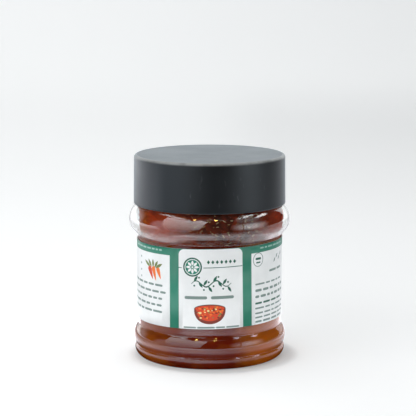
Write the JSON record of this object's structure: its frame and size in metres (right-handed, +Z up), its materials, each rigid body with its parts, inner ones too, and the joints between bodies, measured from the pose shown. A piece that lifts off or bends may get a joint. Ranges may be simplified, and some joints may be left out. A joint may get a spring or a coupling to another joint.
{
  "type": "shut jar of carrot murabba",
  "caption": "Shut clear plastic jar with a bulge above and below its label panel, a plain black screw lid and a wrap label, full of shredded carrot preserve in dark syrup.",
  "frame": {"origin": "middle of the surface that the jar stands on, on the jar's axis", "axes": "+Z up along the jar's axis, -Y towards the front of the label, +X to the right as seen from the front"},
  "size_m": [0.0806, 0.0806, 0.102],
  "materials": {
    "jar": "clear blow-moulded PET, glossy",
    "lid": "black moulded polypropylene, fine matte grain",
    "label": "white printed label with green bands, satin",
    "murabba": "shredded carrot in thick dark red-brown syrup, glossy"
  },
  "bodies": {
    "root": {"jar": "jar", "lid": "lid", "label": "label", "murabba": "murabba"}
  },
  "joints": []
}
